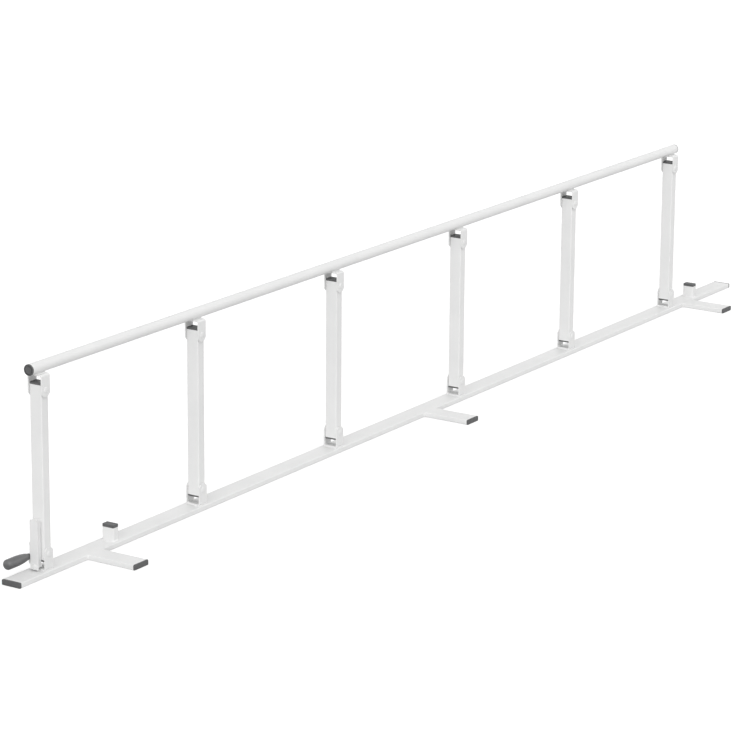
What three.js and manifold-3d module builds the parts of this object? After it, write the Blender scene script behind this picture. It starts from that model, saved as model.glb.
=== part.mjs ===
// Folding bed guard rail in white powder coated steel.
// Six posts hinge on a flat base rail and carry a round top rail, which stays level while it
// swings down towards +X. Three flat feet slide under the mattress, and two short stops on the
// base rail take the folded end posts. A spring lever on the first post keeps the rail upright.
// Millimetres, +Z up, +X along the rail. The origin is on the underside of the base rail,
// halfway along it. The feet point to -Y.

import * as THREE from "three";
import { mergeVertices } from "three/addons/utils/BufferGeometryUtils.js";
import Module from "manifold-3d";

// Gaps, and how far cutters and welded pieces reach past a face
const weldGap = 0.3;
const runningGap = 0.3;
const cutOverrun = 5;
const weldDepth = 0.5;

// Steps used for round shapes, per quarter turn or per full turn
const cornerSteps = 2;
const plugCornerSteps = 1;
const holeSides = 14;
const railSteps = 14;
const pinSides = 12;
const gripSides = 20;

// Base rail, a flat tube that lies on the bed frame
const baseLength = 2055;
const baseWidth = 32;
const baseHeight = 8;
const baseWall = 1.5;
const baseCorner = 2;

// Feet, cut from the same flat tube
const footReach = 80;
const footFromEnd = 163.5;
const footNames = ["left", "middle", "right"];

// Posts, box tube
const postCount = 6;
const firstPostFromEnd = 67.5;
const lastPostFromEnd = 217.5;
const postWidth = 20;
const postDepth = 15;
const postWall = 1.5;
const postCorner = 2;
const postEndGap = 12;

// Stops that the folded end posts come down on, box tube welded on the base rail
const stopWidth = 20;
const stopDepth = 12;
const stopWall = 1.5;
const stopCorner = 2;
const stopHeight = 23.6;
const leftStopFromPost = 151;
const rightStopFromPost = 91;

// Top rail, round tube
const railDiameter = 16;
const railWall = 1.5;
const railAxisHeight = 292;
const railPastFirst = 21.5;
const railPastLast = 16;

// Hinge brackets, folded from plate into a U
const plate = 2;
const bracketDepth = 18;
const bracketHeight = 32;
const bracketChamfer = 5;
const bendRadius = 3;
const pivotHeight = 22.5;

// Hinge pins, round steel with a domed head at each end
const pinRadius = 3;
const pinHeadRadius = 4.5;
const pinHeadHeight = 1.6;
const pinHeadCrown = 0.7;
const pinCrownRadius = 3.1;

// End plugs, plastic cups with a bevelled head
const plugWall = 1.2;
const plugGap = 0.3;
const plugBevel = 0.6;
const plugBoreCorner = 0.4;
const basePlugHead = 1.7;
const basePlugStem = 12;
const postPlugHead = 2.7;
const postPlugStem = 4;
const stopPlugHead = 3.9;
const stopPlugStem = 9;
const railPlugHead = 1.7;
const railPlugStem = 12;
const railPlugCrown = 0.5;

// Lock channel on the first post, a strip of plate with two legs behind it
const stripWidth = 14;
const channelWidth = 10;
const channelStand = 10;
const channelWall = 1.5;
const channelFloor = 5;
const channelHeight = 68;
const rivetRadius = 3.2;
const rivetCrownRadius = 2.2;
const rivetHeight = 1.4;
const rivetCrown = 0.6;
const rivetAboveBase = 9.4;

// Lock lever, cut from plate, which turns on a stud on the channel
const leverPivotAboveBase = 37;
const leverPivotFromPost = 3.9;
const leverHubRadius = 3.6;
const studRadius = 1.9;
const studHeadRadius = 3;
const studHeadHeight = 1;
const armWidth = 3.5;
const armPastPivot = 0.5;
const armBelowTooth = 1;
const armAboveTang = 1;
const armCorner = 1;
const toothAboveBase = 12;
const toothHalf = 2.8;
const toothDepth = 2.2;
const tangWidth = 5;
const tangAboveBase = 19.2;
const tangLength = 35.5;

// Grip on the lever, a turned plastic piece
const gripNeckRadius = 3.9;
const gripNeckLength = 2.9;
const gripSwellLength = 27;
const gripSwellPower = 0.6;
const gripBellyRadius = 7.4;
const gripBellyLength = 12.2;
const gripEndLength = 6;
const gripBodyRings = 8;
const gripEndRings = 5;
const gripFromArm = 0.5;

// Lever spring, a wire coil round the stud
const wireRadius = 0.35;
const springRadius = 2.6;
const springPitch = 1;
const springTurns = 2;
const springLeg = 9;
const wireSides = 5;
const stepsPerTurn = 10;

// Places that follow from the sizes above
const quarter = Math.PI / 2;
const baseTop = baseHeight;
const firstPostX = firstPostFromEnd - baseLength / 2;
const lastPostX = baseLength / 2 - lastPostFromEnd;
const postPitch = (lastPostX - firstPostX) / (postCount - 1);
const footSpacing = (baseLength - 2 * footFromEnd) / (footNames.length - 1);
const stopPlaces = [firstPostX + leftStopFromPost, lastPostX + rightStopFromPost];
const railUnderside = railAxisHeight - railDiameter / 2;
const lowerPivotZ = baseTop + pivotHeight;
const upperPivotZ = railUnderside - pivotHeight;
const postBottom = baseTop + postEndGap + postPlugHead + weldGap;
const postTop = railUnderside - postEndGap - postPlugHead - weldGap;
const cheekInside = postWidth / 2 + runningGap;
const cheekOutside = cheekInside + plate;
const cheekEdge = -bracketDepth / 2;
const pinHoleRadius = pinRadius + runningGap;

// Places on the lock, measured from the axis of the first post and from z = 0
const channelBack = -(postDepth / 2 + channelStand);
const channelOpen = -(postDepth / 2 + weldGap);
const leverX = -(postDepth / 2 + leverPivotFromPost);
const armRight = leverX + armPastPivot;
const armLeft = armRight - armWidth;
const toothTip = cheekEdge + toothDepth;
const tangY = cheekInside + plate / 2;
const gripNeckX = armLeft - gripFromArm;
const rivetZ = baseTop + rivetAboveBase;
const leverPivotHeight = baseTop + leverPivotAboveBase;
const toothHeight = baseTop + toothAboveBase;
const tangHeight = baseTop + tangAboveBase;
const tangEnd = armLeft - tangLength;

const wasm = await Module();
wasm.setup();

const whiteSteel = new THREE.MeshStandardMaterial({ color: 0xe9e9e8, roughness: 0.45, metalness: 0.0 });
const springSteel = new THREE.MeshStandardMaterial({ color: 0x9a9da0, roughness: 0.3, metalness: 1.0 });
const blackPlug = new THREE.MeshStandardMaterial({ color: 0x4b4b4e, roughness: 0.6, metalness: 0.0 });
const blackGrip = new THREE.MeshStandardMaterial({ color: 0x58585b, roughness: 0.55, metalness: 0.0 });

const model = new THREE.Group();

// A closed three.js mesh as a solid for joining and cutting
function toSolid(geometry) {
  const bare = geometry.clone();
  bare.deleteAttribute("normal");
  bare.deleteAttribute("uv");
  const merged = mergeVertices(bare);
  const mesh = new wasm.Mesh({
    numProp: 3,
    vertProperties: new Float32Array(merged.attributes.position.array),
    triVerts: new Uint32Array(merged.index.array),
  });
  return new wasm.Manifold(mesh);
}

function toGeometry(solid) {
  const mesh = solid.getMesh();
  const geometry = new THREE.BufferGeometry();
  geometry.setAttribute("position", new THREE.BufferAttribute(mesh.vertProperties, 3));
  geometry.setIndex(new THREE.BufferAttribute(mesh.triVerts, 1));
  geometry.computeVertexNormals();
  return geometry;
}

function join(...geometries) {
  return toGeometry(geometries.map(toSolid).reduce((whole, piece) => whole.add(piece)));
}

function cut(geometry, ...cutters) {
  return toGeometry(cutters.map(toSolid).reduce((whole, cutter) => whole.subtract(cutter), toSolid(geometry)));
}

function common(first, second) {
  return toGeometry(toSolid(first).intersect(toSolid(second)));
}

function addPiece(name, geometry, material, x, y, z) {
  const mesh = new THREE.Mesh(geometry, material);
  mesh.name = name;
  mesh.position.set(x, y, z);
  model.add(mesh);
}

// Outline of a rectangle with rounded corners, centred on the origin
function roundedRect(PathType, width, height, radius) {
  const path = new PathType();
  const x = width / 2 - radius;
  const y = height / 2 - radius;
  path.absarc(x, y, radius, 0, quarter);
  path.absarc(-x, y, radius, quarter, 2 * quarter);
  path.absarc(-x, -y, radius, 2 * quarter, 3 * quarter);
  path.absarc(x, -y, radius, 3 * quarter, 4 * quarter);
  path.closePath();
  return path;
}

function circle(PathType, radius) {
  const path = new PathType();
  path.absarc(0, 0, radius, 0, 4 * quarter);
  return path;
}

function extrude(shape, depth, curveSegments) {
  return new THREE.ExtrudeGeometry(shape, { depth, curveSegments, bevelEnabled: false });
}

// A plate whose outline is drawn in X and Z, and whose +Y face is at y
function plateInXZ(shape, thickness, y, steps) {
  const geometry = extrude(shape, thickness, steps);
  geometry.rotateX(quarter);
  geometry.translate(0, y, 0);
  return geometry;
}

// A turned piece on the Y axis, from [radius, y] pairs that start and end on the axis
function turned(profile, sides) {
  const points = profile.map(([radius, y]) => new THREE.Vector2(radius, y));
  return toGeometry(toSolid(new THREE.LatheGeometry(points, sides)));
}

// A cutter for a round hole along Y
function crossHole(radius, reach, x, z) {
  const hole = new THREE.CylinderGeometry(radius, radius, 2 * reach, holeSides);
  hole.translate(x, 0, z);
  return hole;
}

// A box tube along +Z from z = 0
function boxTube(width, height, corner, wall, length) {
  const shape = roundedRect(THREE.Shape, width, height, corner);
  shape.holes.push(roundedRect(THREE.Path, width - 2 * wall, height - 2 * wall, corner - wall));
  return extrude(shape, length, cornerSteps);
}

// A plug that closes a box tube. The tube ends at z = 0 and the plug's head lies above it.
function boxPlug(width, height, corner, wall, head, stem) {
  const headPiece = new THREE.ExtrudeGeometry(roundedRect(THREE.Shape, width, height, corner), {
    depth: head - 2 * plugBevel,
    curveSegments: plugCornerSteps,
    bevelEnabled: true,
    bevelThickness: plugBevel,
    bevelSize: plugBevel,
    bevelOffset: -plugBevel,
    bevelSegments: 1,
  });
  headPiece.translate(0, 0, weldGap + plugBevel);
  const stemWidth = width - 2 * wall - 2 * plugGap;
  const stemHeight = height - 2 * wall - 2 * plugGap;
  const stemShape = roundedRect(THREE.Shape, stemWidth, stemHeight, plugWall / 2);
  const boreWidth = stemWidth - 2 * plugWall;
  const boreHeight = stemHeight - 2 * plugWall;
  stemShape.holes.push(roundedRect(THREE.Path, boreWidth, boreHeight, plugBoreCorner));
  const stemPiece = extrude(stemShape, stem + weldGap + head / 2, plugCornerSteps);
  stemPiece.translate(0, 0, -stem);
  return join(headPiece, stemPiece);
}

// A U section with rounded bends, its back at x = back and its open side at x = open
function channelSection(back, open, halfWidth, wall, bend) {
  const shape = new THREE.Shape();
  const centre = back + bend;
  const inner = bend - wall;
  shape.moveTo(open, -halfWidth);
  shape.lineTo(open, wall - halfWidth);
  shape.absarc(centre, bend - halfWidth, inner, 3 * quarter, 2 * quarter, true);
  shape.absarc(centre, halfWidth - bend, inner, 2 * quarter, quarter, true);
  shape.lineTo(open, halfWidth - wall);
  shape.lineTo(open, halfWidth);
  shape.absarc(centre, halfWidth - bend, bend, quarter, 2 * quarter, false);
  shape.absarc(centre, bend - halfWidth, bend, 2 * quarter, 3 * quarter, false);
  shape.closePath();
  return shape;
}

// A wide strip of plate with two narrower legs behind it
function stripSection(back, open, halfStrip, halfWidth, wall) {
  const shape = new THREE.Shape();
  const web = back + wall;
  const inside = halfWidth - wall;
  shape.moveTo(back, halfStrip);
  shape.lineTo(back, -halfStrip);
  shape.lineTo(web, -halfStrip);
  shape.lineTo(web, -halfWidth);
  shape.lineTo(open, -halfWidth);
  shape.lineTo(open, -inside);
  shape.lineTo(web, -inside);
  shape.lineTo(web, inside);
  shape.lineTo(open, inside);
  shape.lineTo(open, halfWidth);
  shape.lineTo(web, halfWidth);
  shape.lineTo(web, halfStrip);
  shape.closePath();
  return shape;
}

// Base rail with its two stops welded on
function makeBaseRail() {
  const tubeLength = baseLength - 2 * (basePlugHead + weldGap);
  const tube = boxTube(baseHeight, baseWidth, baseCorner, baseWall, tubeLength);
  tube.rotateY(quarter);
  tube.translate(-tubeLength / 2, 0, baseHeight / 2);
  const stopTube = stopHeight - stopPlugHead - weldGap;
  const stops = stopPlaces.map((x) => {
    const stop = boxTube(stopDepth, stopWidth, stopCorner, stopWall, stopTube + weldDepth);
    stop.translate(x, 0, baseTop - weldDepth);
    return stop;
  });
  return join(tube, ...stops);
}

function addBase() {
  addPiece("base_rail", makeBaseRail(), whiteSteel, 0, 0, 0);
  for (const [side, sign] of [["left", -1], ["right", 1]]) {
    const plug = boxPlug(baseHeight, baseWidth, baseCorner, baseWall, basePlugHead, basePlugStem);
    plug.rotateY(sign * quarter);
    const x = sign * (baseLength / 2 - basePlugHead - weldGap);
    addPiece(`base_plug_${side}`, plug, blackPlug, x, 0, baseHeight / 2);
  }
  const stopPlug = boxPlug(stopDepth, stopWidth, stopCorner, stopWall, stopPlugHead, stopPlugStem);
  const stopTop = baseTop + stopHeight - stopPlugHead - weldGap;
  stopPlaces.forEach((x, index) => {
    addPiece(`stop_plug_${index === 0 ? "left" : "right"}`, stopPlug, blackPlug, x, 0, stopTop);
  });
}

function addFeet() {
  const start = -(baseWidth / 2 + weldGap);
  const length = footReach - 2 * weldGap - basePlugHead;
  footNames.forEach((name, index) => {
    const x = (index - (footNames.length - 1) / 2) * footSpacing;
    const tube = boxTube(baseWidth, baseHeight, baseCorner, baseWall, length);
    tube.rotateX(quarter);
    addPiece(`foot_${name}`, tube, whiteSteel, x, start, baseHeight / 2);
    const plug = boxPlug(baseWidth, baseHeight, baseCorner, baseWall, basePlugHead, basePlugStem);
    plug.rotateX(quarter);
    addPiece(`foot_plug_${name}`, plug, blackPlug, x, start - length, baseHeight / 2);
  });
}

// U bracket that stands on z = 0. The hinge pin passes through its two cheeks.
function makeBracket() {
  const section = channelSection(0, bracketHeight, cheekOutside, plate, bendRadius);
  const folded = extrude(section, bracketDepth, cornerSteps);
  folded.translate(0, 0, -bracketDepth / 2);
  folded.rotateY(-quarter);
  const wide = bracketDepth / 2 + cutOverrun;
  const narrow = bracketDepth / 2 - bracketChamfer - cutOverrun;
  const side = new THREE.Shape();
  side.moveTo(-wide, -cutOverrun);
  side.lineTo(wide, -cutOverrun);
  side.lineTo(wide, bracketHeight - bracketChamfer - cutOverrun);
  side.lineTo(narrow + cutOverrun, bracketHeight);
  side.lineTo(-narrow - cutOverrun, bracketHeight);
  side.lineTo(-wide, bracketHeight - bracketChamfer - cutOverrun);
  side.closePath();
  const reach = cheekOutside + cutOverrun;
  const outline = plateInXZ(side, 2 * reach, reach, cornerSteps);
  return cut(common(folded, outline), crossHole(pinHoleRadius, reach, 0, pivotHeight - weldGap));
}

// Notch for the lever's tooth, in the cheek on the +Y side of the first lower bracket
function makeNotchCutter() {
  const tip = toothTip + runningGap * Math.SQRT2;
  const reach = toothHalf + cutOverrun;
  const z = toothHeight - baseTop - weldGap;
  const shape = new THREE.Shape();
  shape.moveTo(tip, z);
  shape.lineTo(tip - reach, z + reach);
  shape.lineTo(tip - reach, z - reach);
  shape.closePath();
  return plateInXZ(shape, plate + 2 * runningGap, cheekOutside + runningGap, cornerSteps);
}

function makePin() {
  const shankEnd = cheekOutside + runningGap / 2;
  const headEnd = shankEnd + pinHeadHeight;
  const shoulder = headEnd - pinHeadCrown;
  const profile = [
    [0, -headEnd],
    [pinCrownRadius, -headEnd],
    [pinHeadRadius, -shoulder],
    [pinHeadRadius, -shankEnd],
    [pinRadius, -shankEnd],
    [pinRadius, shankEnd],
    [pinHeadRadius, shankEnd],
    [pinHeadRadius, shoulder],
    [pinCrownRadius, headEnd],
    [0, headEnd],
  ];
  return turned(profile, pinSides);
}

function makePost() {
  const tube = boxTube(postDepth, postWidth, postCorner, postWall, postTop - postBottom);
  const reach = postWidth / 2 + cutOverrun;
  const lowHole = crossHole(pinHoleRadius, reach, 0, lowerPivotZ - postBottom);
  const highHole = crossHole(pinHoleRadius, reach, 0, upperPivotZ - postBottom);
  return cut(tube, lowHole, highHole);
}

function addPosts() {
  const post = makePost();
  const topPlug = boxPlug(postDepth, postWidth, postCorner, postWall, postPlugHead, postPlugStem);
  const bottomPlug = topPlug.clone().rotateX(2 * quarter);
  const bracket = makeBracket();
  const notchedBracket = cut(bracket, makeNotchCutter());
  const upperBracket = bracket.clone().rotateX(2 * quarter);
  const pin = makePin();
  for (let index = 0; index < postCount; index += 1) {
    const x = firstPostX + index * postPitch;
    const number = index + 1;
    const lowerBracket = index === 0 ? notchedBracket : bracket;
    addPiece(`lower_bracket_${number}`, lowerBracket, whiteSteel, x, 0, baseTop + weldGap);
    addPiece(`lower_pin_${number}`, pin, whiteSteel, x, 0, lowerPivotZ);
    addPiece(`post_${number}`, post, whiteSteel, x, 0, postBottom);
    addPiece(`post_bottom_plug_${number}`, bottomPlug, blackPlug, x, 0, postBottom);
    addPiece(`post_top_plug_${number}`, topPlug, blackPlug, x, 0, postTop);
    addPiece(`upper_bracket_${number}`, upperBracket, whiteSteel, x, 0, railUnderside - weldGap);
    addPiece(`upper_pin_${number}`, pin, whiteSteel, x, 0, upperPivotZ);
  }
}

function addTopRail() {
  const left = firstPostX - railPastFirst + railPlugHead + weldGap;
  const right = lastPostX + railPastLast - railPlugHead - weldGap;
  const shape = circle(THREE.Shape, railDiameter / 2);
  shape.holes.push(circle(THREE.Path, railDiameter / 2 - railWall));
  const tube = extrude(shape, right - left, railSteps);
  tube.rotateY(quarter);
  addPiece("top_rail", tube, whiteSteel, left, 0, railAxisHeight);
  const stemRadius = railDiameter / 2 - railWall - plugGap;
  const headEnd = weldGap + railPlugHead;
  const profile = [
    [0, weldGap],
    [stemRadius - plugWall, weldGap],
    [stemRadius - plugWall, -railPlugStem],
    [stemRadius, -railPlugStem],
    [stemRadius, weldGap],
    [railDiameter / 2, weldGap],
    [railDiameter / 2, headEnd - railPlugCrown],
    [railDiameter / 2 - railPlugCrown, headEnd],
    [0, headEnd],
  ];
  const plug = turned(profile, 2 * railSteps);
  addPiece("rail_plug_left", plug.clone().rotateZ(quarter), blackPlug, left, 0, railAxisHeight);
  addPiece("rail_plug_right", plug.clone().rotateZ(-quarter), blackPlug, right, 0, railAxisHeight);
}

// Channel on the first post, with a rivet low on its back and the lever's stud on its +Y side
function makeChannel() {
  const halves = [stripWidth / 2, channelWidth / 2];
  const section = stripSection(channelBack, channelOpen, ...halves, channelWall);
  const channel = extrude(section, channelHeight, cornerSteps);
  channel.translate(0, 0, baseTop + channelFloor);
  const rivet = turned([
    [0, -channelWall / 2],
    [rivetRadius, -channelWall / 2],
    [rivetRadius, rivetHeight - rivetCrown],
    [rivetCrownRadius, rivetHeight],
    [0, rivetHeight],
  ], pinSides);
  rivet.rotateZ(quarter);
  rivet.translate(channelBack, 0, rivetZ);
  const shankEnd = cheekInside + runningGap;
  const stud = turned([
    [0, channelWidth / 2 - channelWall / 2],
    [studRadius, channelWidth / 2 - channelWall / 2],
    [studRadius, shankEnd],
    [studHeadRadius, shankEnd],
    [studHeadRadius, shankEnd + studHeadHeight],
    [0, shankEnd + studHeadHeight],
  ], pinSides);
  stud.translate(leverX, 0, leverPivotHeight);
  return join(channel, rivet, stud);
}

// Lever of two plates lapped and welded: the arm turns on the stud, and the blade outside it
// carries the tooth in the plane of the bracket's cheek, and the tang for the grip
function makeLever() {
  const root = toothTip - toothHalf;
  const bladeLow = toothHeight - toothHalf - armBelowTooth;
  const bladeHigh = tangHeight + tangWidth / 2 + armAboveTang;
  const bladeShape = new THREE.Shape();
  bladeShape.moveTo(armRight, bladeHigh);
  bladeShape.lineTo(armLeft, bladeHigh);
  bladeShape.absarc(armLeft + armCorner, bladeLow + armCorner, armCorner, 2 * quarter, 3 * quarter);
  bladeShape.lineTo(armRight, bladeLow);
  bladeShape.lineTo(armRight, toothHeight - toothHalf);
  bladeShape.lineTo(root, toothHeight - toothHalf);
  bladeShape.lineTo(toothTip, toothHeight);
  bladeShape.lineTo(root, toothHeight + toothHalf);
  bladeShape.lineTo(armRight, toothHeight + toothHalf);
  bladeShape.closePath();
  const blade = plateInXZ(bladeShape, plate, cheekOutside, cornerSteps);
  const tang = new THREE.BoxGeometry(tangLength + armWidth / 2, plate, tangWidth);
  tang.translate((tangEnd + armLeft + armWidth / 2) / 2, tangY, tangHeight);
  const armLow = tangHeight - tangWidth / 2;
  const arm = new THREE.BoxGeometry(armWidth, plate, leverPivotHeight - armLow);
  arm.translate((armLeft + armRight) / 2, cheekInside - plate / 2, (leverPivotHeight + armLow) / 2);
  const hub = new THREE.CylinderGeometry(leverHubRadius, leverHubRadius, plate, 2 * holeSides);
  hub.translate(leverX, cheekInside - plate / 2, leverPivotHeight);
  const weld = new THREE.BoxGeometry(armWidth - armCorner, plate, tangWidth - armCorner);
  weld.translate((armLeft + armRight) / 2, cheekInside, tangHeight);
  const whole = join(arm, hub, weld, blade, tang);
  const reach = cheekOutside + cutOverrun;
  return cut(whole, crossHole(studRadius + runningGap, reach, leverX, leverPivotHeight));
}

// Grip with a pocket for the tang. It is turned along Y and then laid along -X.
function makeGrip() {
  const profile = [[0, 0]];
  profile.push([gripNeckRadius, 0]);
  for (let ring = 0; ring <= gripBodyRings; ring += 1) {
    const share = (ring / gripBodyRings) ** 2;
    const swell = Math.sin(share * quarter) ** gripSwellPower;
    const girth = gripNeckRadius + (gripBellyRadius - gripNeckRadius) * swell;
    profile.push([girth, gripNeckLength + share * gripSwellLength]);
  }
  const endAt = gripNeckLength + gripSwellLength + gripBellyLength;
  for (let ring = 0; ring < gripEndRings; ring += 1) {
    const angle = (ring / gripEndRings) * quarter;
    const along = gripEndLength * Math.sqrt(Math.sin(angle));
    profile.push([gripBellyRadius * Math.sqrt(Math.cos(angle)), endAt + along]);
  }
  profile.push([0, endAt + gripEndLength]);
  const grip = turned(profile, gripSides);
  grip.rotateZ(quarter);
  grip.translate(gripNeckX, tangY, tangHeight);
  const pocketLength = gripNeckX - tangEnd + runningGap + cutOverrun;
  const pocketWidth = tangWidth + 2 * runningGap;
  const pocket = new THREE.BoxGeometry(pocketLength, plate + 2 * runningGap, pocketWidth);
  pocket.translate(gripNeckX + cutOverrun - pocketLength / 2, tangY, tangHeight);
  return cut(grip, pocket);
}

// A round wire along a list of points that advances in X and Z, closed at both ends
function wire(points) {
  const positions = [];
  const index = [];
  const up = new THREE.Vector3(0, 1, 0);
  points.forEach((point, step) => {
    const before = points[Math.max(step - 1, 0)];
    const after = points[Math.min(step + 1, points.length - 1)];
    const along = new THREE.Vector3().subVectors(after, before).normalize();
    const side = new THREE.Vector3().crossVectors(along, up).normalize();
    const top = new THREE.Vector3().crossVectors(side, along);
    for (let corner = 0; corner < wireSides; corner += 1) {
      const angle = (corner / wireSides) * 4 * quarter;
      const place = point.clone();
      place.addScaledVector(side, wireRadius * Math.cos(angle));
      place.addScaledVector(top, wireRadius * Math.sin(angle));
      positions.push(place.x, place.y, place.z);
    }
  });
  for (let step = 0; step < points.length - 1; step += 1) {
    for (let corner = 0; corner < wireSides; corner += 1) {
      const a = step * wireSides + corner;
      const b = step * wireSides + ((corner + 1) % wireSides);
      index.push(a, a + wireSides, b, b, a + wireSides, b + wireSides);
    }
  }
  const last = (points.length - 1) * wireSides;
  for (let corner = 1; corner < wireSides - 1; corner += 1) {
    index.push(0, corner, corner + 1, last, last + corner + 1, last + corner);
  }
  const geometry = new THREE.BufferGeometry();
  geometry.setAttribute("position", new THREE.Float32BufferAttribute(positions, 3));
  geometry.setIndex(index);
  return toGeometry(toSolid(geometry));
}

// Coil round the stud, with one leg up along the channel and one down along the lever
function makeSpring() {
  const startY = channelWidth / 2 + runningGap + wireRadius;
  const points = [new THREE.Vector3(-springRadius, startY, springLeg)];
  const steps = springTurns * stepsPerTurn;
  for (let step = 0; step <= steps; step += 1) {
    const angle = (step / stepsPerTurn) * 4 * quarter;
    const y = startY + (springPitch * step) / stepsPerTurn;
    points.push(new THREE.Vector3(-springRadius * Math.cos(angle), y, -springRadius * Math.sin(angle)));
  }
  points.push(new THREE.Vector3(-springRadius, startY + springPitch * springTurns, -springLeg));
  const coil = wire(points);
  coil.translate(leverX, 0, leverPivotHeight);
  return coil;
}

function addLock() {
  addPiece("lock_channel", makeChannel(), whiteSteel, firstPostX, 0, 0);
  addPiece("lock_lever", makeLever(), whiteSteel, firstPostX, 0, 0);
  addPiece("lock_grip", makeGrip(), blackGrip, firstPostX, 0, 0);
  addPiece("lock_spring", makeSpring(), springSteel, firstPostX, 0, 0);
}

addBase();
addFeet();
addPosts();
addTopRail();
addLock();

export default model;
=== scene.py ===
import math

import bmesh
import bpy
from mathutils import Matrix, Vector


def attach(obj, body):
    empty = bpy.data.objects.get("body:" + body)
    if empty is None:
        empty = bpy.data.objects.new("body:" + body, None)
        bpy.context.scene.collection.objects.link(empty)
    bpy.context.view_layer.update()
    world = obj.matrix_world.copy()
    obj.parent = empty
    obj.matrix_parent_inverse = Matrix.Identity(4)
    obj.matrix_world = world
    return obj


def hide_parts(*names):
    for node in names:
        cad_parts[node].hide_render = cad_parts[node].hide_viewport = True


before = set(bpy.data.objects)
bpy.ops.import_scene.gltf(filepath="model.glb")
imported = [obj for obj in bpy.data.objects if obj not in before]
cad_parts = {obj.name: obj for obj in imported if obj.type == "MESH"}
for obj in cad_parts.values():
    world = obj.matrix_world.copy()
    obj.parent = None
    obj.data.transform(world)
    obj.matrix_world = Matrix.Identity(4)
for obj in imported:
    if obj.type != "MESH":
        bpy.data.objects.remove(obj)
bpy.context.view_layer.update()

# ---------------------------------------------------------------------------
# The studio: a pale floor that runs out of sight under an even, bright sky, and
# two broad, soft lamps, one high in front and one low at the latch end.
# The camera looks down on the guard rail a little, from in front of its latch end.
# ---------------------------------------------------------------------------
scene = bpy.context.scene
scene.view_settings.view_transform = "Standard"
WHITE = (1.0, 1.0, 1.0, 1.0)


def add_node(tree, kind, settings=(), **sockets):
    """One shader node; a socket takes a value, or a link from another node's output."""
    node = tree.nodes.new("ShaderNode" + kind)
    for name, value in dict(settings).items():
        setattr(node, name, value)
    for name, value in sockets.items():
        plug = node.inputs[int(name[1:]) if name[1:].isdigit() else name.replace("_", " ")]
        if isinstance(value, bpy.types.NodeSocket):
            tree.links.new(value, plug)
        else:
            plug.default_value = value
    return node


def seen_directly(tree):
    """1 where the camera, or a reflection or glass, looks at the background."""
    ray = add_node(tree, "LightPath").outputs
    larger = {"operation": "MAXIMUM"}
    gloss, glass = ray["Is Glossy Ray"], ray["Is Transmission Ray"]
    through = add_node(tree, "Math", larger, i0=gloss, i1=glass).outputs[0]
    return add_node(tree, "Math", larger, i0=ray["Is Camera Ray"], i1=through).outputs[0]


sky_light = 0.615
sky = bpy.data.worlds.new("studio_sky")
sky.use_nodes = True
sky.node_tree.nodes.clear()
dome = add_node(sky.node_tree, "Background", Color=WHITE, Strength=sky_light)
backdrop = add_node(sky.node_tree, "Background", Color=WHITE, Strength=1.0)
sky_mix = add_node(
    sky.node_tree,
    "MixShader",
    Fac=seen_directly(sky.node_tree),
    i1=dome.outputs[0],
    i2=backdrop.outputs[0],
)
add_node(sky.node_tree, "OutputWorld", Surface=sky_mix.outputs[0])
scene.world = sky

floor_drop = 0.0002
floor_half = 30.0
floor_tone = 0.60
floor_lift = 0.57
floor_mesh = bpy.data.meshes.new("studio_floor")
floor_corners = [
    (-floor_half, -floor_half, -floor_drop),
    (floor_half, -floor_half, -floor_drop),
    (floor_half, floor_half, -floor_drop),
    (-floor_half, floor_half, -floor_drop),
]
floor_mesh.from_pydata(floor_corners, [], [(0, 1, 2, 3)])
floor = bpy.data.objects.new("studio_floor", floor_mesh)
scene.collection.objects.link(floor)
floor_paint = bpy.data.materials.new("floor_paint")
floor_paint.use_nodes = True
floor_tree = floor_paint.node_tree
floor_tree.nodes.clear()
matt = add_node(floor_tree, "BsdfDiffuse", Color=(floor_tone, floor_tone, floor_tone, 1))
lift = add_node(
    floor_tree,
    "Math",
    {"operation": "MULTIPLY"},
    i0=seen_directly(floor_tree),
    i1=floor_lift,
)
glow = add_node(floor_tree, "Emission", Color=WHITE, Strength=lift.outputs[0])
floor_sum = add_node(floor_tree, "AddShader", i0=matt.outputs[0], i1=glow.outputs[0])
add_node(floor_tree, "OutputMaterial", Surface=floor_sum.outputs[0])
floor_mesh.materials.append(floor_paint)

for lamp_name, towards, strength, spread in (
    ("high_lamp", (-0.030, -0.600, 0.800), 0.265 * math.pi, 50),
    ("low_lamp", (-0.880, -0.350, 0.330), 0.372 * math.pi, 40),
):
    lamp = bpy.data.objects.new(lamp_name, bpy.data.lights.new(lamp_name, "SUN"))
    lamp.data.energy = strength
    lamp.data.angle = math.radians(spread)
    lamp.rotation_euler = Vector(towards).to_track_quat("Z", "Y").to_euler()
    scene.collection.objects.link(lamp)

camera_at = Vector((-4.30594, -2.72846, 1.46822))
camera_yaw = math.radians(33.3381)
camera_pitch = math.radians(-15.2878)
camera_roll = math.radians(0.4029)
camera = bpy.data.objects.new("camera", bpy.data.cameras.new("camera"))
camera.data.lens = 162.902
camera.data.sensor_width = 36
camera.data.clip_end = 100
ahead = Vector(
    (
        math.cos(camera_pitch) * math.cos(camera_yaw),
        math.cos(camera_pitch) * math.sin(camera_yaw),
        math.sin(camera_pitch),
    )
)
level_right = Vector((math.sin(camera_yaw), -math.cos(camera_yaw), 0))
level_up = level_right.cross(ahead)
right = level_right * math.cos(camera_roll) + level_up * math.sin(camera_roll)
up = level_up * math.cos(camera_roll) - level_right * math.sin(camera_roll)
stand = Matrix((right, up, -ahead)).transposed().to_4x4()
stand.translation = camera_at
camera.matrix_world = stand
scene.collection.objects.link(camera)
scene.camera = camera

# ---------------------------------------------------------------------------
# The base rail: a flat steel tube with its long edges rolled round, and two short
# upright box tubes welded on top as stops. The last post folds down on the right
# one. Mild steel, welded, then powder coated white as one piece.
# ---------------------------------------------------------------------------
MM = 0.001
least_corner = 0.25
cut_rim = 0.3
weld_step = 0.35
weld_scale = 1.4
weld_scale_depth = 0.07
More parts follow.
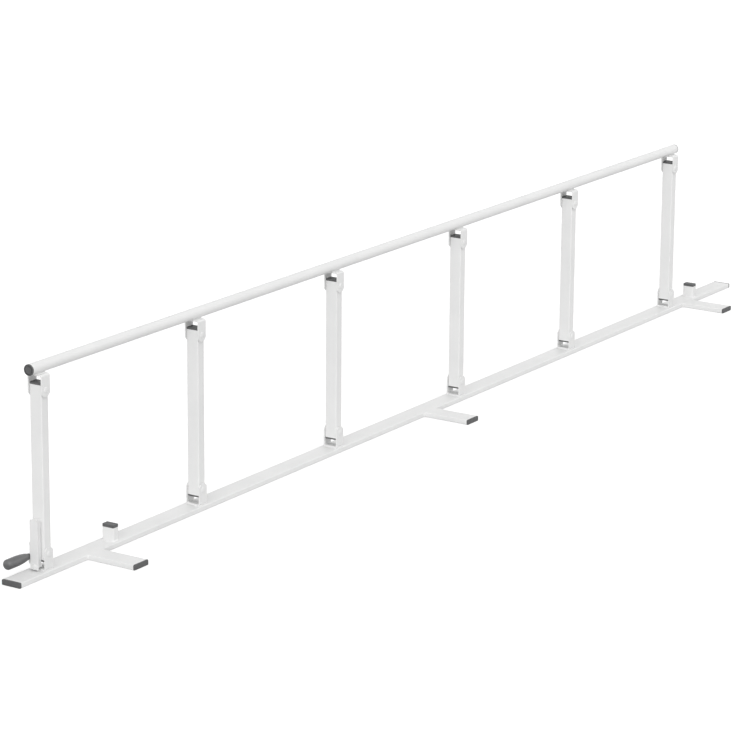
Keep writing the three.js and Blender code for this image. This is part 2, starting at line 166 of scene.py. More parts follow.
# How far round from the tip, in radians, the rings of a rod's rounded end lie.
rod_end_turns = (0.25, 0.7, 1.15)
# A section lies across an axis at u and v, and w runs along the axis.
AXES = {
    "x": lambda u, v, w: (w, u, v),
    "y": lambda u, v, w: (u, w, v),
    "z": lambda u, v, w: (u, v, w),
}


def loft(shape, rings, joined=False):
    """Skins a row of outlines. The row runs back into itself if joined, else it is capped."""
    rows = [[shape.verts.new(point) for point in ring] for ring in rings]
    faces = []
    for one, two in zip(rows, rows[1:] + rows[:1] if joined else rows[1:]):
        for k in range(len(one)):
            n = (k + 1) % len(one)
            faces.append(shape.faces.new((one[k], one[n], two[n], two[k])))
    if not joined:
        faces += [shape.faces.new(rows[0][::-1]), shape.faces.new(rows[-1])]
    bmesh.ops.recalc_face_normals(shape, faces=faces)


def rounded_box(width, height, corner, steps=7):
    """The outline of a box tube, width across u and height across v."""
    points = []
    for across, along, start in ((1, 1, 0), (-1, 1, 90), (-1, -1, 180), (1, -1, 270)):
        for i in range(steps + 1):
            a = math.radians(start + 90 * i / steps)
            points.append(
                (
                    across * (width / 2 - corner) + corner * math.cos(a),
                    along * (height / 2 - corner) + corner * math.sin(a),
                )
            )
    return points


def box_rings(axis, centre, size, corner, steps):
    """Outlines of a box section set in by so much, each at its own place along the axis."""
    rings = []
    for inset, w in steps:
        turn = max(corner - inset, least_corner)
        line = rounded_box(size[0] - 2 * inset, size[1] - 2 * inset, turn)
        rings.append([AXES[axis](centre[0] + u, centre[1] + v, w) for u, v in line])
    return rings


def quarter(radius, count=3):
    """Set-in and run-out of a rounded edge, from its end face to its side."""
    turns = [math.pi / 2 * i / count for i in range(count + 1)]
    return [(radius * (1 - math.sin(a)), radius * (1 - math.cos(a))) for a in turns]


def box_tube(shape, axis, centre, size, corner, start, end):
    """A box tube with a real bore and its cut ends rubbed round."""
    near = [(inset, start + run) for inset, run in quarter(cut_rim)]
    far = [(inset, end - run) for inset, run in reversed(quarter(cut_rim))]
    bore = [(tube_wall, end), (tube_wall, start)]
    loft(shape, box_rings(axis, centre, size, corner, near + far + bore), joined=True)


def sweep(shape, path, radius, scale_every=0.0, scale_depth=0.0, sides=12):
    """A round rod along a path with rounded ends. Scales give it a weld's ripple."""
    points = [Vector(p) for p in path]
    steps = [(b - a).normalized() for a, b in zip(points, points[1:])]
    tangents = [steps[0]] + [(a + b).normalized() for a, b in zip(steps, steps[1:])] + [steps[-1]]
    side = tangents[0].orthogonal().normalized()
    rings = []
    run = 0.0
    for i, (point, tangent) in enumerate(zip(points, tangents)):
        if i:
            run += (point - points[i - 1]).length
            side = (side - tangent * side.dot(tangent)).normalized()
        other = tangent.cross(side)
        here = radius
        if scale_every:
            here *= 1 - scale_depth * ((run / scale_every) % 1.0)
        rims = [(here, 0.0)]
        ends = [(here * math.sin(a), here * math.cos(a)) for a in rod_end_turns]
        if i == 0:
            rims = [(size, -along) for size, along in ends] + rims
        elif i == len(points) - 1:
            rims += ends[::-1]
        for size, along in rims:
            ring = []
            for k in range(sides):
                a = 2 * math.pi * k / sides
                across = (side * math.cos(a) + other * math.sin(a)) * size
                ring.append(point + tangent * along + across)
            rings.append(ring)
    loft(shape, rings)


def bead(shape, corners, radius):
    """A weld run along a line of corners, laid in small overlapping scales."""
    path = []
    for a, b in zip(corners, corners[1:]):
        a, b = Vector(a), Vector(b)
        count = max(1, round((b - a).length / weld_step))
        path += [a.lerp(b, i / count) for i in range(count)]
    path.append(Vector(corners[-1]))
    sweep(shape, path, radius, weld_scale, weld_scale_depth)


def place(name, shape, finish, body, nodes, at=(0, 0, 0), crease=32):
    """Sets a shape made in millimetres in the frame, finished, on the body that carries it."""
    mesh = bpy.data.meshes.new(name)
    made = shape.copy()
    made.transform(Matrix.Scale(MM, 4) @ Matrix.Translation(at))
    made.to_mesh(mesh)
    made.free()
    mesh.shade_smooth()
    mesh.set_sharp_from_angle(angle=math.radians(crease))
    mesh.materials.append(finish)
    piece = bpy.data.objects.new(name, mesh)
    scene.collection.objects.link(piece)
    flats = piece.modifiers.new("flats_stay_flat", "WEIGHTED_NORMAL")
    flats.keep_sharp = True
    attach(piece, body)
    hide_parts(*nodes)


def powder_coat():
    """White powder coat: faint mottle in the white, orange peel, and a soft even gloss."""
    coat = bpy.data.materials.new("white_powder_coat")
    coat.use_nodes = True
    tree = coat.node_tree
    tree.nodes.clear()
    spot = add_node(tree, "TexCoord").outputs["Object"]
    mottle = add_node(tree, "TexNoise", Vector=spot, Scale=22.0, Detail=4.0, Roughness=0.6)
    white = add_node(tree, "ValToRGB", Fac=mottle.outputs["Fac"])
    white.color_ramp.elements[0].position = 0.3
    white.color_ramp.elements[0].color = (0.790, 0.792, 0.790, 1)
    white.color_ramp.elements[1].position = 0.7
    white.color_ramp.elements[1].color = (0.826, 0.826, 0.822, 1)
    cloud = add_node(tree, "TexNoise", Vector=spot, Scale=260.0, Detail=3.0)
    gloss = add_node(tree, "MapRange", Value=cloud.outputs["Fac"], To_Min=0.37, To_Max=0.49)
    peel = add_node(tree, "TexNoise", Vector=spot, Scale=900.0, Detail=2.0, Roughness=0.45)
    skin = add_node(tree, "Bump", Height=peel.outputs["Fac"], Strength=0.35, Distance=0.00006)
    shader = add_node(
        tree,
        "BsdfPrincipled",
        Base_Color=white.outputs["Color"],
        Roughness=gloss.outputs["Result"],
        Normal=skin.outputs["Normal"],
        IOR=1.48,
    )
    add_node(tree, "OutputMaterial", Surface=shader.outputs[0])
    return coat


white_coat = powder_coat()
flat_tube = (32, 8)
flat_corner = 1.5
tube_wall = 1.5
base_end = 1024.6
base_top = 8
stop_tube = (12, 20)
stop_corner = 1.5
stop_sunk = 0.2
stop_top = 27.4
stop_places = {"left": -809, "right": 901}
stop_weld = 1.0
stop_weld_out = 0.3
stop_weld_up = 0.1
stop_weld_corner = 2.3
base = bmesh.new()
box_tube(base, "x", (0, base_top / 2), flat_tube, flat_corner, -base_end, base_end)
for x in stop_places.values():
    box_tube(base, "z", (x, 0), stop_tube, stop_corner, base_top - stop_sunk, stop_top)
    weld_box = [across + 2 * stop_weld_out for across in stop_tube]
    weld_line = rounded_box(*weld_box, stop_weld_corner, 3)
    weld_line = [(x + u, v, base_top + stop_weld_up) for u, v in weld_line]
    bead(base, weld_line + weld_line[:1], stop_weld)
place("base_tube", base, white_coat, "root", ["base_rail"])

# ---------------------------------------------------------------------------
# The end plugs of the base rail and of its two stops: moulded black plastic, a
# head as wide as the tube with a rounded edge and a shallow panel in its face,
# on a tapered stem that is pressed into the bore.
# ---------------------------------------------------------------------------
stem_gap = 0.05
stem_taper = 0.8
stem_full_share = 0.6
plug_edge = 0.6
# The panel's edge: how far in from the head's side, and how deep under its face.
plug_panel = ((1.7, 0), (1.85, 0.1), (1.95, 0.35))


def box_plug(shape, axis, centre, size, corner, seat, tip, stem):
    """A plug for a box tube: stem in the bore, rounded head, panel sunk in its face."""
    out = 1 if tip > seat else -1
    bore = tube_wall + stem_gap
    rings = [(bore + stem_taper, seat - out * stem), (bore, seat - out * stem * stem_full_share)]
    rings += [(bore, seat), (0, seat)]
    rings += [(inset, tip - out * run) for inset, run in reversed(quarter(plug_edge, 4))]
    rings += [(inset, tip - out * sunk) for inset, sunk in plug_panel]
    loft(shape, box_rings(axis, centre, size, corner, rings))


def black_plastic():
    """Moulded black plastic: spark-eroded grain all over, a little paler where it is rubbed."""
    plastic = bpy.data.materials.new("black_plug_plastic")
    plastic.use_nodes = True
    tree = plastic.node_tree
    tree.nodes.clear()
    spot = add_node(tree, "TexCoord").outputs["Object"]
    bloom = add_node(tree, "TexNoise", Vector=spot, Scale=120.0, Detail=4.0)
    black = add_node(tree, "ValToRGB", Fac=bloom.outputs["Fac"])
    black.color_ramp.elements[0].position = 0.3
    black.color_ramp.elements[0].color = (0.074, 0.075, 0.077, 1)
    black.color_ramp.elements[1].position = 0.75
    black.color_ramp.elements[1].color = (0.100, 0.101, 0.103, 1)
    grain = add_node(tree, "TexNoise", Vector=spot, Scale=2500.0, Detail=2.0)
    dull = add_node(tree, "MapRange", Value=bloom.outputs["Fac"], To_Min=0.42, To_Max=0.6)
    skin = add_node(tree, "Bump", Height=grain.outputs["Fac"], Strength=0.5, Distance=0.00005)
    shader = add_node(
        tree,
        "BsdfPrincipled",
        Base_Color=black.outputs["Color"],
        Roughness=dull.outputs["Result"],
        Normal=skin.outputs["Normal"],
        IOR=1.5,
    )
    add_node(tree, "OutputMaterial", Surface=shader.outputs[0])
    return plastic


plug_black = black_plastic()
base_tip = 1027.5
base_stem = 12
stop_tip = 31.6
stop_stem = 8
for side, hand in (("left", -1), ("right", 1)):
    plug = bmesh.new()
    seat, tip = hand * base_end, hand * base_tip
    box_plug(plug, "x", (0, base_top / 2), flat_tube, flat_corner, seat, tip, base_stem)
    place(f"base_cap_{side}", plug, plug_black, "root", [f"base_plug_{side}"])
    plug = bmesh.new()
    middle = (stop_places[side], 0)
    box_plug(plug, "z", middle, stop_tube, stop_corner, stop_top, stop_tip, stop_stem)
    place(f"stop_cap_{side}", plug, plug_black, "root", [f"stop_plug_{side}"])

# ---------------------------------------------------------------------------
# The three feet that slide under the mattress: lengths of the same flat tube,
# butted against the base rail's edge and welded up both sides and over the top of
# the joint, coated with it, and closed at the free end by the same kind of plug.
# ---------------------------------------------------------------------------
foot_places = {"left": -864, "middle": 0, "right": 864}
foot_root = -15.4
foot_end = -94.0
foot_tip = -96.0
foot_stem = 12
foot_weld = 1.3
# One side of the weld, up from the underside and round the tube's upper corner.
foot_weld_side = [(-16.1, -16.1, 1.7), (-16.1, -16.1, 5.6)]
foot_weld_side += [(-15.6, -16.0, 6.6), (-14.2, -15.9, 6.95)]
foot_weld_line = foot_weld_side + [(-u, v, w) for u, v, w in reversed(foot_weld_side)]
for side, x in foot_places.items():
    middle = (x, base_top / 2)
    foot = bmesh.new()
    box_tube(foot, "y", middle, flat_tube, flat_corner, foot_end, foot_root)
    bead(foot, [(x + u, v, w) for u, v, w in foot_weld_line], foot_weld)
    place(f"foot_tube_{side}", foot, white_coat, "root", [f"foot_{side}"])
    plug = bmesh.new()
    box_plug(plug, "y", middle, flat_tube, flat_corner, foot_end, foot_tip, foot_stem)
    place(f"foot_cap_{side}", plug, plug_black, "root", [f"foot_plug_{side}"])

# ---------------------------------------------------------------------------
# The lower hinge brackets: 2 mm plate folded to a U, the cheeks' corners clipped
# and their edges deburred, drilled for the pin and welded on the base rail all
# round the web. The first one has the latch's V notch in its far cheek.
# ---------------------------------------------------------------------------
post_count = 6
first_post = -960
post_spacing = 354
post_places = [first_post + post_spacing * i for i in range(post_count)]
plate = 2.0
plate_edge = 0.35
cheek_out = 12.3
bracket_half = 9
bracket_tall = 32
bracket_clip = 5
bend = 3.0
bend_steps = 6
pin_hole = 3.3
bracket_drill = 20
lower_seat = 8.3
lower_pivot = 30.5
bracket_weld = 1.0
bracket_weld_at = (bracket_half + 0.15, cheek_out - 1.6, lower_seat + 0.25)
# The V from the side: its point, and its mouth a little past the cheek's edge.
notch_outline = [(-6.38, 20), (-10.2, 23.82), (-10.2, 16.18)]
notch_through = (9.5, 13.0)


def soften(shape, size, sharp=35):
    """Rounds every edge of plate or bar that turns by more than an angle."""
    limit = math.radians(sharp)
    edges = [e for e in shape.edges if len(e.link_faces) == 2 and e.calc_face_angle() > limit]
    bmesh.ops.bevel(shape, geom=edges, offset=size, segments=2, affect="EDGES", clamp_overlap=True)


def cut(shape, tool):
    """Takes the tool's volume out of the shape and gives the new shape back."""
    blocks = []
    for solid in (shape, tool):
        stock = bpy.data.objects.new("stock", bpy.data.meshes.new("stock"))
        solid.to_mesh(stock.data)
        solid.free()
        scene.collection.objects.link(stock)
        blocks.append(stock)
    boring = blocks[0].modifiers.new("boring", "BOOLEAN")
    boring.operation = "DIFFERENCE"
    boring.solver = "EXACT"
    boring.object = blocks[1]
    bpy.context.view_layer.update()
    made = bmesh.new()
    made.from_object(blocks[0], bpy.context.evaluated_depsgraph_get())
    for stock in blocks:
        bpy.data.objects.remove(stock)
    return made


def turned(shape, axis, centre, profile, sides=40, joined=False):
    """A piece turned on a lathe: (radius, place along the axis) down its profile."""
    rings = []
    for radius, w in profile:
        ring = []
        for k in range(sides):
            a = 2 * math.pi * k / sides
            u, v = centre[0] + radius * math.cos(a), centre[1] + radius * math.sin(a)
            ring.append(AXES[axis](u, v, w))
        rings.append(ring)
    loft(shape, rings, joined)


def drill(axis, centre, radius, start, end):
    """The tool for a round hole."""
    bit = bmesh.new()
    turned(bit, axis, centre, [(radius, start), (radius, end)])
    return bit


def bent_plate(shape, stations, axis):
    """Plate bent round a section: each station has its outer and inner point and its edges."""
    rings = []
    for outer, inner, low, high in stations:
        rings.append(
            [
                AXES[axis](*outer, low),
                AXES[axis](*outer, high),
                AXES[axis](*inner, high),
                AXES[axis](*inner, low),
            ]
        )
    loft(shape, rings)


def hinge_bracket(seat, out, pivot):
    """A U of plate whose web rests at seat and whose cheeks reach out by their height."""
    half, clipped = bracket_half, bracket_half - bracket_clip
    arms = [(bracket_tall, clipped), (bracket_tall - bracket_clip, half), (bend, half)]
    middle = cheek_out - bend
    stations = []
    for hand in (-1, 1):
        arm = []
        for reach, wide in arms:
            z = seat + out * reach
            arm.append(((hand * cheek_out, z), (hand * (cheek_out - plate), z), -wide, wide))
        for i in range(1, bend_steps + 1):
            a = math.pi / 2 * i / bend_steps
            outer, inner = [
                (hand * (middle + r * math.cos(a)), seat + out * (bend - r * math.sin(a)))
                for r in (bend, bend - plate)
            ]
            arm.append((outer, inner, -half, half))
        stations += arm if hand < 0 else arm[::-1]
    bracket = bmesh.new()
    bent_plate(bracket, stations, "x")
    soften(bracket, plate_edge)
    return cut(bracket, drill("y", (0, pivot), pin_hole, -bracket_drill, bracket_drill))


lower_bracket = hinge_bracket(lower_seat, 1, lower_pivot)
weld_x, weld_y, weld_z = bracket_weld_at
weld_line = [(-weld_x, -weld_y), (weld_x, -weld_y), (weld_x, weld_y), (-weld_x, weld_y)]
weld_line = [(u, v, weld_z) for u, v in weld_line]
bead(lower_bracket, weld_line + weld_line[:1], bracket_weld)
for i, x in enumerate(post_places):
    bracket = lower_bracket.copy()
    if i == 0:
        notch = bmesh.new()
        loft(notch, [[(u, y, w) for u, w in notch_outline] for y in notch_through])
        bracket = cut(bracket, notch)
    name, node = f"lower_hinge_{i + 1}", f"lower_bracket_{i + 1}"
    place(name, bracket, white_coat, "root", [node], at=(x, 0, 0))

# ---------------------------------------------------------------------------
# The hinge pins: soft steel rivets through both cheeks and the post, with a low
# domed head at each end. The heads were painted white with the rest.
# ---------------------------------------------------------------------------
pin_radius = 3.0
pin_sides = 36
head_radius = 4.4
head_under = 12.3
head_rim = 0.15
head_top = 13.25
dome_steps = 6
dome_crown = 0.3


def domed_head(radius, under, rim, top):
    """The profile of a low domed head: a straight rim under a dome, flat at its crown."""
    line = [(radius, under), (radius, under + rim)]
    for i in range(1, dome_steps + 1):
        a = math.pi / 2 * i / dome_steps
        rise = (top - under - rim) * math.sin(a)
        line.append((max(radius * math.cos(a), dome_crown), under + rim + rise))
    return line


def hinge_pin(pivot):
    """A rivet along Y with a domed head at both ends."""
    far = [(pin_radius, head_under)] + domed_head(head_radius, head_under, head_rim, head_top)
    pin = bmesh.new()
    turned(pin, "y", (0, pivot), [(r, -w) for r, w in reversed(far)] + far, sides=pin_sides)
    return pin


lower_pin = hinge_pin(lower_pivot)
for i, x in enumerate(post_places):
    name, node = f"lower_rivet_{i + 1}", f"lower_pin_{i + 1}"
    place(name, lower_pin, white_coat, "root", [node], at=(x, 0, 0))

# ---------------------------------------------------------------------------
# The six posts: box tube, drilled through near both ends for the pins, white
# powder coat over the drilled tube, and a black plug pressed in each end.
# ---------------------------------------------------------------------------
post_tube = (15, 20)
post_corner = 1.5
post_low = 22.4
post_high = 269
post_drill = 15
post_stem = 4
upper_pivot = 261.5
plug_low = 20
plug_high = 272
post = bmesh.new()
box_tube(post, "z", (0, 0), post_tube, post_corner, post_low, post_high)
for z in (lower_pivot, upper_pivot):
    post = cut(post, drill("y", (0, z), pin_hole, -post_drill, post_drill))
for i, x in enumerate(post_places):
    body = f"post_{i + 1}"
    place(f"post_tube_{i + 1}", post, white_coat, body, [body], at=(x, 0, 0))
    for end, seat, tip in (("bottom", post_low, plug_low), ("top", post_high, plug_high)):
        plug = bmesh.new()
        box_plug(plug, "z", (x, 0), post_tube, post_corner, seat, tip, post_stem)
        name, node = f"post_cap_{end}_{i + 1}", f"post_{end}_plug_{i + 1}"
        place(name, plug, plug_black, body, [node])

# ---------------------------------------------------------------------------
# The top rail: round steel tube, white powder coat, closed at both ends by a
# black plug with a rounded head and a ring groove moulded in its face.
# ---------------------------------------------------------------------------
rail_radius = 8
rail_bore = rail_radius - tube_wall
rail_sides = 64
rail_height = 292
rail_left = -979.5
rail_right = 824
rail_tip_left = -981.5
rail_tip_right = 826
rail_stem = 12
rail_stem_full = 7
rail_plug_edge = 0.8
# The plug's face from the lip inwards: radius, and depth under the tip.
rail_plug_groove = [(7.0, 0), (6.8, 0.2), (6.7, 1.1), (5.3, 1.1)]
rail_plug_middle = [(5.2, 0.3), (5.0, 0.1), (4.8, 0.05)]
rail = bmesh.new()
section = [(rail_radius - inset, rail_left + run) for inset, run in quarter(cut_rim)]
section += [(rail_radius - inset, rail_right - run) for inset, run in reversed(quarter(cut_rim))]
section += [(rail_bore, rail_right), (rail_bore, rail_left)]
turned(rail, "x", (0, rail_height), section, sides=rail_sides, joined=True)
place("handrail_tube", rail, white_coat, "rail", ["top_rail"])
for side, seat, tip in (
    ("left", rail_left, rail_tip_left),
    ("right", rail_right, rail_tip_right),
):
    out = 1 if tip > seat else -1
    line = [(rail_bore - stem_taper, seat - out * rail_stem)]
    line += [(rail_bore, seat - out * rail_stem_full), (rail_bore, seat), (rail_radius, seat)]
    for inset, run in reversed(quarter(rail_plug_edge, 5)):
        line.append((rail_radius - inset, tip - out * run))
    line += [(radius, tip - out * sunk) for radius, sunk in rail_plug_groove + rail_plug_middle]
    plug = bmesh.new()
    turned(plug, "x", (0, rail_height), line, sides=rail_sides)
    place(f"handrail_cap_{side}", plug, plug_black, "rail", [f"rail_plug_{side}"])

# ---------------------------------------------------------------------------
# The upper hinge brackets: the same folded U the other way up, welded under the
# top rail by a run on each side of its web, and their pins, riveted like the
# lower ones.
# ---------------------------------------------------------------------------
upper_seat = 283.7
upper_weld = 1.05
upper_weld_out = 3.3
upper_weld_half = 8.8
upper_weld_height = upper_seat + 0.35
upper_bracket = hinge_bracket(upper_seat, -1, upper_pivot)
for y in (-upper_weld_out, upper_weld_out):
    weld_line = [(x, y, upper_weld_height) for x in (-upper_weld_half, upper_weld_half)]
    bead(upper_bracket, weld_line, upper_weld)
upper_pin = hinge_pin(upper_pivot)
for i, x in enumerate(post_places):
    name, node = f"upper_hinge_{i + 1}", f"upper_bracket_{i + 1}"
    place(name, upper_bracket, white_coat, "rail", [node], at=(x, 0, 0))
    name, node = f"upper_rivet_{i + 1}", f"upper_pin_{i + 1}"
    place(name, upper_pin, white_coat, "rail", [node], at=(x, 0, 0))

# ---------------------------------------------------------------------------
# The latch channel on the first post: a strip of plate on two narrow legs that are
# welded to the post's outer face, closed on top by a small plate, with a rivet head
# near its foot and the stud that the lever turns on. White steel, coated with the post.
# ---------------------------------------------------------------------------
latch_post = (post_places[0], 0, 0)
edge_round = 0.25
strip_front = -17.5
strip_back = -16.0
strip_half = 7.0
strip_low = 10.2
strip_edge = 0.35
leg_out = 5.0
leg_in = 3.5
leg_front = strip_back - 0.3
leg_end = -8.1
leg_low = 13
channel_high = 81
leg_weld = 0.7
leg_weld_at = (-7.75, leg_out + 0.1)
leg_weld_runs = ((leg_low + 0.7, 18), (76.5, channel_high - 0.7))
lid_front = strip_back - 0.2
lid_half = 4.3
lid_low = channel_high - 1.6
lid_high = channel_high - 0.1
rivet_at = (0, 14.8)
rivet_radius = 4.2
rivet_under = strip_front + 0.1
rivet_tall = 1.5
stud_at = (-11.4, 45)
stud_radius = 1.9
stud_from = leg_out - 0.8
stud_to = 10.7
stud_sides = 32
stud_head_radius = 3.0
stud_head_under = 10.55
stud_head_tall = 1.0
head_rim_share = 0.25


def bar(shape, low, high, edge=edge_round):
    """A straight bar from corner to corner, its edges rubbed round."""
    stock = bmesh.new()
    bmesh.ops.create_cube(stock, size=1.0)
    for corner in stock.verts:
        for k in range(3):
            corner.co[k] = low[k] if corner.co[k] < 0 else high[k]
    soften(stock, edge)
    stock.to_mesh(scrap)
    shape.from_mesh(scrap)
    stock.free()


def set_head(shape, axis, centre, radius, under, tall):
    """Sets the domed head of a rivet or stud on a face, standing out by its height."""
    line = domed_head(radius, under, head_rim_share * tall, under + tall)
    turned(shape, axis, centre, line, sides=pin_sides)


scrap = bpy.data.meshes.new("scrap")
channel = bmesh.new()
low, high = (strip_front, -strip_half, strip_low), (strip_back, strip_half, channel_high)
bar(channel, low, high, strip_edge)
for hand in (-1, 1):
    near, far = sorted((hand * leg_out, hand * leg_in))
    bar(channel, (leg_front, near, leg_low), (leg_end, far, channel_high))
    x, y = leg_weld_at
    for low, high in leg_weld_runs:
        bead(channel, [(x, hand * y, low), (x, hand * y, high)], leg_weld)
bar(channel, (lid_front, -lid_half, lid_low), (leg_end, lid_half, lid_high))
set_head(channel, "x", rivet_at, rivet_radius, rivet_under, -rivet_tall)
stud_line = [(stud_radius, stud_from), (stud_radius, stud_to)]
turned(channel, "y", stud_at, stud_line, sides=stud_sides)
set_head(channel, "y", stud_at, stud_head_radius, stud_head_under, stud_head_tall)
name, node = "latch_channel", "lock_channel"
place(name, channel, white_coat, "post_1", [node], at=latch_post)

# ---------------------------------------------------------------------------
# The latch lever: two pieces of 2 mm plate, lapped and welded. The arm hangs on
# the stud behind the strip, and the blade outside it has the tooth that drops in
# the bracket's notch, and the tang for the grip. White powder coat.
# ---------------------------------------------------------------------------
lap = 10.3
lap_run_in = 0.05
hub = 3.6
hub_hole = 2.2
hub_steps = 24
hub_drill = (6, 13)
arm_left = -14.4
arm_right = -10.9
blade_low = 16.2
blade_high = 30.7
blade_corner = 1
tang_low = 24.7
tang_high = 29.7
tang_end = -49.9
tooth_at = 20
tooth_half = 2.8
tooth_root = -9.6
tooth_tip = -6.7
lap_weld = 0.6
lap_weld_ends = (arm_left + 0.5, arm_right - 0.5)
lap_weld_high = (lap + 0.15, blade_high + 0.1)
lap_weld_low = (lap - 0.15, tang_low - 0.1)


def arc(centre, radius, start, end, count):
    """Points of an arc, by its angles in degrees."""
    turns = [math.radians(start + (end - start) * i / count) for i in range(count + 1)]
    return [(centre[0] + radius * math.cos(a), centre[1] + radius * math.sin(a)) for a in turns]


def hub_angle(x):
    """Where the arm's edge at x runs into the hub."""
    return -math.degrees(math.acos((x - stud_at[0]) / hub))


def sawn(line, low, high):
    """A flat piece sawn from plate to an outline in XZ, with its edges deburred."""
    piece = bmesh.new()
    loft(piece, [[(u, y, w) for u, w in line] for y in (low, high)])
    soften(piece, edge_round)
    return piece


arm_line = arc(stud_at, hub, hub_angle(arm_right), 360 + hub_angle(arm_left), hub_steps)
arm_line += [(arm_left, tang_low), (arm_right, tang_low)]
arm = sawn(arm_line, lap - plate, lap + lap_run_in)
lever = cut(arm, drill("y", stud_at, hub_hole, *hub_drill))
tooth_low, tooth_high = tooth_at - tooth_half, tooth_at + tooth_half
blade_line = [(arm_right, blade_high), (arm_left, blade_high), (arm_left, tang_high)]
blade_line += [(tang_end, tang_high), (tang_end, tang_low), (arm_left, tang_low)]
corner_at = (arm_left + blade_corner, blade_low + blade_corner)
blade_line += arc(corner_at, blade_corner, 180, 270, 4)
blade_line += [(arm_right, blade_low), (arm_right, tooth_low), (tooth_root, tooth_low)]
blade_line += [(tooth_tip, tooth_at), (tooth_root, tooth_high), (arm_right, tooth_high)]
blade = sawn(blade_line, lap, lap + plate)
blade.to_mesh(scrap)
lever.from_mesh(scrap)
blade.free()
for y, z in (lap_weld_high, lap_weld_low):
    bead(lever, [(x, y, z) for x in lap_weld_ends], lap_weld)
place("latch_lever", lever, white_coat, "lever", ["lock_lever"], at=latch_post)

# ---------------------------------------------------------------------------
# The grip: a bullet of moulded black plastic pushed on the tang, slim where it
# passes the strip, full and almost straight to its blunt free end, with the
# mould's parting line down both sides.
# ---------------------------------------------------------------------------
grip_axis = (11.3, 27.2)
grip_mouth = -14.9
grip_neck = 3.9
grip_neck_end = grip_mouth - 2.9
grip_swell_long = 27
grip_swell_steps = 24
grip_swell_power = 0.6
grip_full = 7.4
grip_full_long = 12.2
grip_blunt = 6.0
grip_blunt_steps = 16
grip_crown = 0.35
grip_sides = 56
# The mouth from the tang outwards: radius, and depth behind the mouth's face.
grip_lip = [(2.2, 0.6), (3.0, 0), (3.6, 0), (3.82, 0.1), (grip_neck, 0.3)]
seam_band = 0.3
seam_from = 3.2
seam_proud = 0.1
grip_line = [(radius, grip_mouth - along) for radius, along in grip_lip]
for i in range(grip_swell_steps + 1):
    share = (i / grip_swell_steps) ** 2
    swell = math.sin(share * math.pi / 2) ** grip_swell_power
    girth = grip_neck + (grip_full - grip_neck) * swell
    grip_line.append((girth, grip_neck_end - grip_swell_long * share))
grip_end = grip_neck_end - grip_swell_long - grip_full_long
for i in range(grip_blunt_steps + 1):
    a = math.pi / 2 * i / grip_blunt_steps
    girth = max(grip_full * math.sqrt(max(math.cos(a), 0.0)), grip_crown)
    grip_line.append((girth, grip_end - grip_blunt * math.sqrt(math.sin(a))))


def soft_black():
    """Black soft-touch plastic: fine matt grain and random paler blotches, with a painted
    highlight along the upper side, palest a little below the top.
    """
    rubber = bpy.data.materials.new("black_grip_plastic")
    rubber.use_nodes = True
    tree = rubber.node_tree
    tree.nodes.clear()
    spot = add_node(tree, "TexCoord").outputs["Object"]
    rub = add_node(tree, "TexNoise", Vector=spot, Scale=70.0, Detail=5.0)
    share = add_node(tree, "TexCoord").outputs["Generated"]
    upper = add_node(tree, "SeparateXYZ", Vector=share).outputs["Z"]
    blend = {"operation": "MULTIPLY_ADD"}
    # Painted highlight: the colour grows paler with height on the grip, with random blotches mixed
    # in, so that the upper side looks lit.
    mottle_and_top_light = add_node(tree, "Math", blend, i0=rub.outputs["Fac"], i1=0.3, i2=upper)
    mottle_and_painted_highlight = add_node(tree, "Math", blend, i0=mottle_and_top_light.outputs[0], i1=0.77, i2=0.0)
    # The ramp paints the highlight: dark underneath, palest a little below the top, and a touch
    # darker again at the crown.
    black = add_node(tree, "ValToRGB", Fac=mottle_and_painted_highlight.outputs[0])
    black.color_ramp.interpolation = "EASE"
    black.color_ramp.elements[0].position = 0.4
    black.color_ramp.elements[0].color = (0.082, 0.083, 0.085, 1)
    black.color_ramp.elements[1].position = 0.68
    black.color_ramp.elements[1].color = (0.150, 0.151, 0.153, 1)
    black.color_ramp.elements.new(0.92).color = (0.112, 0.113, 0.115, 1)
    grain = add_node(tree, "TexNoise", Vector=spot, Scale=1700.0, Detail=3.0)
    dull = add_node(tree, "MapRange", Value=rub.outputs["Fac"], To_Min=0.34, To_Max=0.44)
    skin = add_node(tree, "Bump", Height=grain.outputs["Fac"], Strength=0.5, Distance=0.00006)
    shader = add_node(
        tree,
        "BsdfPrincipled",
        Base_Color=black.outputs["Color"],
        Roughness=dull.outputs["Result"],
        Normal=skin.outputs["Normal"],
        IOR=1.5,
    )
    add_node(tree, "OutputMaterial", Surface=shader.outputs[0])
    return rubber


grip = bmesh.new()
turned(grip, "x", grip_axis, grip_line, sides=grip_sides)
for corner in grip.verts:
    y, z = corner.co.y - grip_axis[0], corner.co.z - grip_axis[1]
    if math.hypot(y, z) > seam_from and abs(z) < seam_band:
        corner.co.y += math.copysign(seam_proud, y)
place("latch_grip", grip, soft_black(), "lever", ["lock_grip"], at=latch_post)

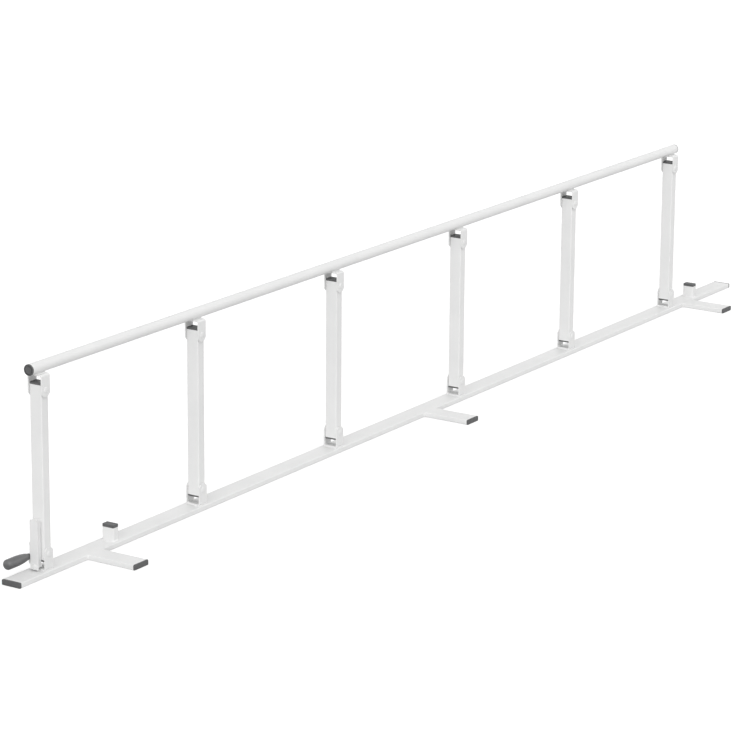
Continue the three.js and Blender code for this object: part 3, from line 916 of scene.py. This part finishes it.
# ---------------------------------------------------------------------------
# The latch spring: bright spring-steel wire, two turns round the stud between
# the channel and the lever, with one straight leg up and one down.
# ---------------------------------------------------------------------------
wire_radius = 0.35
coil_radius = 2.6
coil_turns = 2
coil_steps = 28 * coil_turns
coil_in = 5.65
coil_out = 7.65
wire_leg = 9
wire_leg_steps = 6


def spring_wire():
    """Drawn spring steel: bright, with fine drawing lines along the wire."""
    steel = bpy.data.materials.new("spring_wire_steel")
    steel.use_nodes = True
    tree = steel.node_tree
    tree.nodes.clear()
    spot = add_node(tree, "TexCoord").outputs["Object"]
    stretch = add_node(tree, "Mapping", Vector=spot, Scale=(1.0, 6.0, 1.0))
    lines = add_node(tree, "TexNoise", Vector=stretch.outputs["Vector"], Scale=1500.0, Detail=3.0)
    tone = add_node(tree, "ValToRGB", Fac=lines.outputs["Fac"])
    tone.color_ramp.elements[0].color = (0.50, 0.50, 0.51, 1)
    tone.color_ramp.elements[1].color = (0.64, 0.64, 0.65, 1)
    gloss = add_node(tree, "MapRange", Value=lines.outputs["Fac"], To_Min=0.24, To_Max=0.38)
    skin = add_node(tree, "Bump", Height=lines.outputs["Fac"], Strength=0.3, Distance=0.00002)
    shader = add_node(
        tree,
        "BsdfPrincipled",
        Base_Color=tone.outputs["Color"],
        Metallic=1.0,
        Roughness=gloss.outputs["Result"],
        Normal=skin.outputs["Normal"],
    )
    add_node(tree, "OutputMaterial", Surface=shader.outputs[0])
    return steel


stud_x, stud_z = stud_at
wire_path = []
for i in range(wire_leg_steps):
    z = stud_z + wire_leg * (1 - i / wire_leg_steps)
    wire_path.append((stud_x - coil_radius, coil_in, z))
for i in range(coil_steps + 1):
    a = math.pi + 2 * math.pi * coil_turns * i / coil_steps
    y = coil_in + (coil_out - coil_in) * i / coil_steps
    wire_path.append((stud_x + coil_radius * math.cos(a), y, stud_z + coil_radius * math.sin(a)))
for i in range(1, wire_leg_steps + 1):
    z = stud_z - wire_leg * i / wire_leg_steps
    wire_path.append((stud_x - coil_radius, coil_out, z))
spring = bmesh.new()
sweep(spring, wire_path, wire_radius)
name, node = "latch_spring", "lock_spring"
place(name, spring, spring_wire(), "post_1", [node], at=latch_post)
